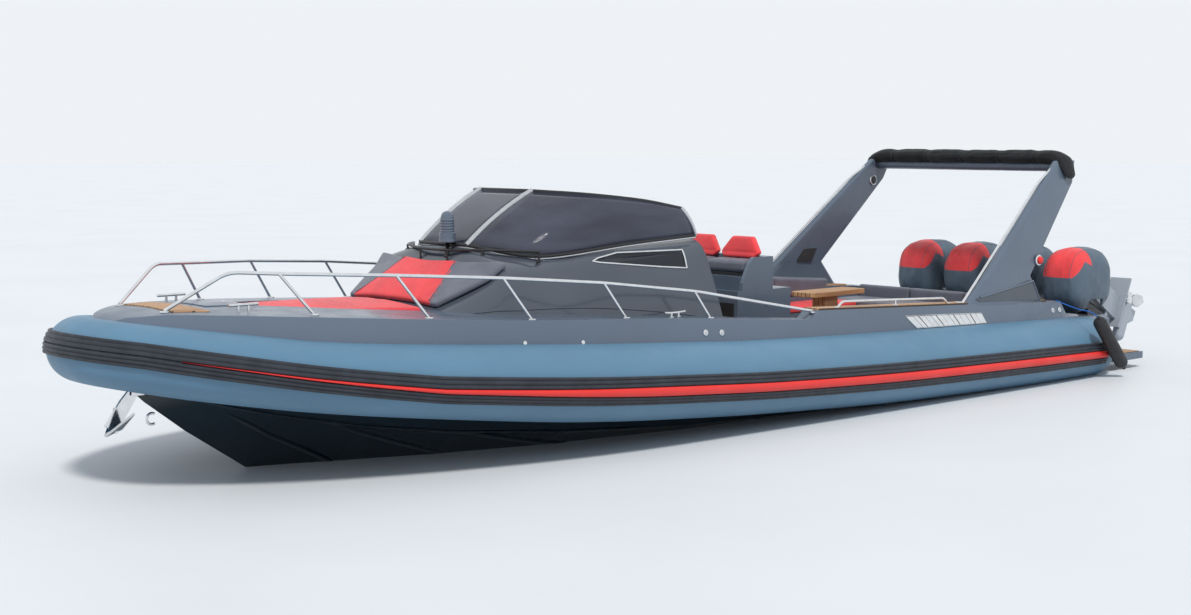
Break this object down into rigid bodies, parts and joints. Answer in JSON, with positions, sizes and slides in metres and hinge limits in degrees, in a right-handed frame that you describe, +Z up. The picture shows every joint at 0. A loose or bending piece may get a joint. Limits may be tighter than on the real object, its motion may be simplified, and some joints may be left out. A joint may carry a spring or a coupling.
{
  "type": "rigid inflatable boat",
  "caption": "Rigid inflatable boat with a cabin, wrap windshield, raked arch with a rolled sunshade, seats and outboard engines tilted up at the stern.",
  "frame": {"origin": "on the waterline at the centreline, amidships", "axes": "+X to the bow, +Y to port, +Z up"},
  "size_m": [13.7533, 4.1196, 3.1758],
  "materials": {
    "hull_paint": "dark blue gloss hull paint",
    "deck_paint": "pale blue-grey gelcoat",
    "tube_fabric": "blue-grey coated tube fabric",
    "strake_rubber": "dark grey grooved rubber",
    "stripe_red": "red rubber stripe",
    "cabin_paint": "dark grey gelcoat",
    "cushion_red": "red and grey marine vinyl",
    "cushion_grey": "grey marine vinyl",
    "canvas_black": "black canvas",
    "steel": "polished stainless steel",
    "rail_black": "black coated rail",
    "aluminium_trim": "anodised aluminium frame",
    "tinted_glass": "tinted glazing",
    "teak": "oiled teak",
    "engine_paint": "blue-grey gloss cowling",
    "engine_metal": "light grey painted casting",
    "bracket_black": "black painted bracket",
    "rubber_black": "black rubber"
  },
  "bodies": {
    "boat": {"hull": "hull_paint", "tube": "tube_fabric", "rub_strake": "strake_rubber", "strake_stripe": "stripe_red", "deck": "deck_paint", "cabin": "cabin_paint", "side_windows": "tinted_glass", "windshield": "tinted_glass", "windshield_frame": "aluminium_trim", "bow_pad": "cushion_red", "trunk_pad": "cushion_red", "bow_rail": "steel", "handrail": "rail_black", "searchlight": "deck_paint", "cleats": "steel", "helm_console": "cabin_paint", "seat_module": "deck_paint", "helm_cushions": "cushion_red", "sofa_base": "deck_paint", "sofa_cushions": "cushion_grey", "table_top": "teak", "table_leg": "teak", "arch": "deck_paint", "coaming_caps": "teak", "coaming_rails": "steel", "arch_poles": "steel", "bimini_roll": "canvas_black", "swim_platforms": "deck_paint", "fender": "rubber_black", "anchor": "steel", "clamp_brackets": "bracket_black"},
    "wheel": {"steering_wheel": "rubber_black"},
    "door": {"cabin_door": "cabin_paint"},
    "swivel_1": {"swivel_bracket_1": "bracket_black"},
    "outboard_1": {"engine_cover_1": "engine_paint", "engine_leg_1": "engine_metal"},
    "screw_1": {"propeller_1": "steel"},
    "swivel_2": {"swivel_bracket_2": "bracket_black"},
    "outboard_2": {"engine_cover_2": "engine_paint", "engine_leg_2": "engine_metal"},
    "screw_2": {"propeller_2": "steel"},
    "swivel_3": {"swivel_bracket_3": "bracket_black"},
    "outboard_3": {"engine_cover_3": "engine_paint", "engine_leg_3": "engine_metal"},
    "screw_3": {"propeller_3": "steel"},
    "swivel_4": {"swivel_bracket_4": "bracket_black"},
    "outboard_4": {"engine_cover_4": "engine_paint", "engine_leg_4": "engine_metal"},
    "screw_4": {"propeller_4": "steel"}
  },
  "joints": [
    {"name": "tilt_1", "type": "hinge", "parent": "boat", "child": "swivel_1", "pos_m": [-6.29, -1.068, 0.64], "axis": [0, 1, 0], "range_deg": [-65, 0]},
    {"name": "steer_1", "type": "hinge", "parent": "swivel_1", "child": "outboard_1", "pos_m": [-6.3492, -1.068, 0.7669], "axis": [0.9063, 0, 0.4226], "range_deg": [-25, 25]},
    {"name": "prop_1", "type": "hinge", "parent": "outboard_1", "child": "screw_1", "pos_m": [-7.4499, -1.068, 0.7612], "axis": [0.4226, 0, -0.9063], "continuous": true},
    {"name": "tilt_2", "type": "hinge", "parent": "boat", "child": "swivel_2", "pos_m": [-6.29, -0.356, 0.64], "axis": [0, 1, 0], "range_deg": [-65, 0]},
    {"name": "steer_2", "type": "hinge", "parent": "swivel_2", "child": "outboard_2", "pos_m": [-6.3492, -0.356, 0.7669], "axis": [0.9063, 0, 0.4226], "range_deg": [-25, 25]},
    {"name": "prop_2", "type": "hinge", "parent": "outboard_2", "child": "screw_2", "pos_m": [-7.4499, -0.356, 0.7612], "axis": [0.4226, 0, -0.9063], "continuous": true},
    {"name": "tilt_3", "type": "hinge", "parent": "boat", "child": "swivel_3", "pos_m": [-6.29, 0.356, 0.64], "axis": [0, 1, 0], "range_deg": [-65, 0]},
    {"name": "steer_3", "type": "hinge", "parent": "swivel_3", "child": "outboard_3", "pos_m": [-6.3492, 0.356, 0.7669], "axis": [0.9063, 0, 0.4226], "range_deg": [-25, 25]},
    {"name": "prop_3", "type": "hinge", "parent": "outboard_3", "child": "screw_3", "pos_m": [-7.4499, 0.356, 0.7612], "axis": [0.4226, 0, -0.9063], "continuous": true},
    {"name": "tilt_4", "type": "hinge", "parent": "boat", "child": "swivel_4", "pos_m": [-6.29, 1.068, 0.64], "axis": [0, 1, 0], "range_deg": [-65, 0]},
    {"name": "steer_4", "type": "hinge", "parent": "swivel_4", "child": "outboard_4", "pos_m": [-6.3492, 1.068, 0.7669], "axis": [0.9063, 0, 0.4226], "range_deg": [-25, 25]},
    {"name": "prop_4", "type": "hinge", "parent": "outboard_4", "child": "screw_4", "pos_m": [-7.4499, 1.068, 0.7612], "axis": [0.4226, 0, -0.9063], "continuous": true},
    {"name": "wheel_turn", "type": "hinge", "parent": "boat", "child": "wheel", "pos_m": [-0.235, -0.6, 1.33], "axis": [-0.9063, 0, 0.4226], "range_deg": [-540, 540]},
    {"name": "door_hinge", "type": "hinge", "parent": "boat", "child": "door", "pos_m": [0.096, 0.596, 1.04], "axis": [0, 0, -1], "range_deg": [0, 95]}
  ],
  "couplings": [
    {"joint": "tilt_2", "follows": "tilt_1", "ratio": 1},
    {"joint": "steer_2", "follows": "steer_1", "ratio": 1},
    {"joint": "tilt_3", "follows": "tilt_1", "ratio": 1},
    {"joint": "steer_3", "follows": "steer_1", "ratio": 1},
    {"joint": "tilt_4", "follows": "tilt_1", "ratio": 1},
    {"joint": "steer_4", "follows": "steer_1", "ratio": 1}
  ]
}
